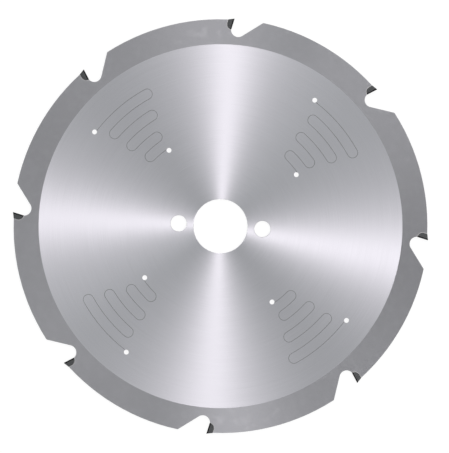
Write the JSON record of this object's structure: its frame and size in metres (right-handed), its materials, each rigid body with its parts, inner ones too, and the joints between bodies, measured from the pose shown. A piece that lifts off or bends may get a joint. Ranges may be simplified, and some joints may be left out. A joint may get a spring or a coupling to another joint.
{
  "type": "polycrystalline diamond saw blade",
  "caption": "Flat steel saw blade with brazed diamond tips on its rim, deep gullets, serpentine damping slots, an arbor bore and drive pin holes.",
  "frame": {"origin": "on the arbor bore's axis, at the middle of the plate's thickness", "axes": "+Z along the bore's axis, +X through the first cutting corner and the drive pin holes; seen from +Z the blade turns clockwise"},
  "size_m": [0.23, 0.23, 0.0024],
  "materials": {
    "ground_steel": "circular ground, with a matt blasted rim",
    "diamond": "lapped, near black",
    "carbide": "ground dark grey",
    "braze": "dull silver",
    "damping_resin": "matt dark grey, in the damping slots"
  },
  "bodies": {
    "root": {"saw_plate": "ground_steel", "diamond_layer_1": "diamond", "diamond_layer_2": "diamond", "diamond_layer_3": "diamond", "diamond_layer_4": "diamond", "diamond_layer_5": "diamond", "diamond_layer_6": "diamond", "diamond_layer_7": "diamond", "diamond_layer_8": "diamond", "carbide_backing_1": "carbide", "carbide_backing_2": "carbide", "carbide_backing_3": "carbide", "carbide_backing_4": "carbide", "carbide_backing_5": "carbide", "carbide_backing_6": "carbide", "carbide_backing_7": "carbide", "carbide_backing_8": "carbide", "braze_joint_1": "braze", "braze_joint_2": "braze", "braze_joint_3": "braze", "braze_joint_4": "braze", "braze_joint_5": "braze", "braze_joint_6": "braze", "braze_joint_7": "braze", "braze_joint_8": "braze"}
  },
  "joints": []
}
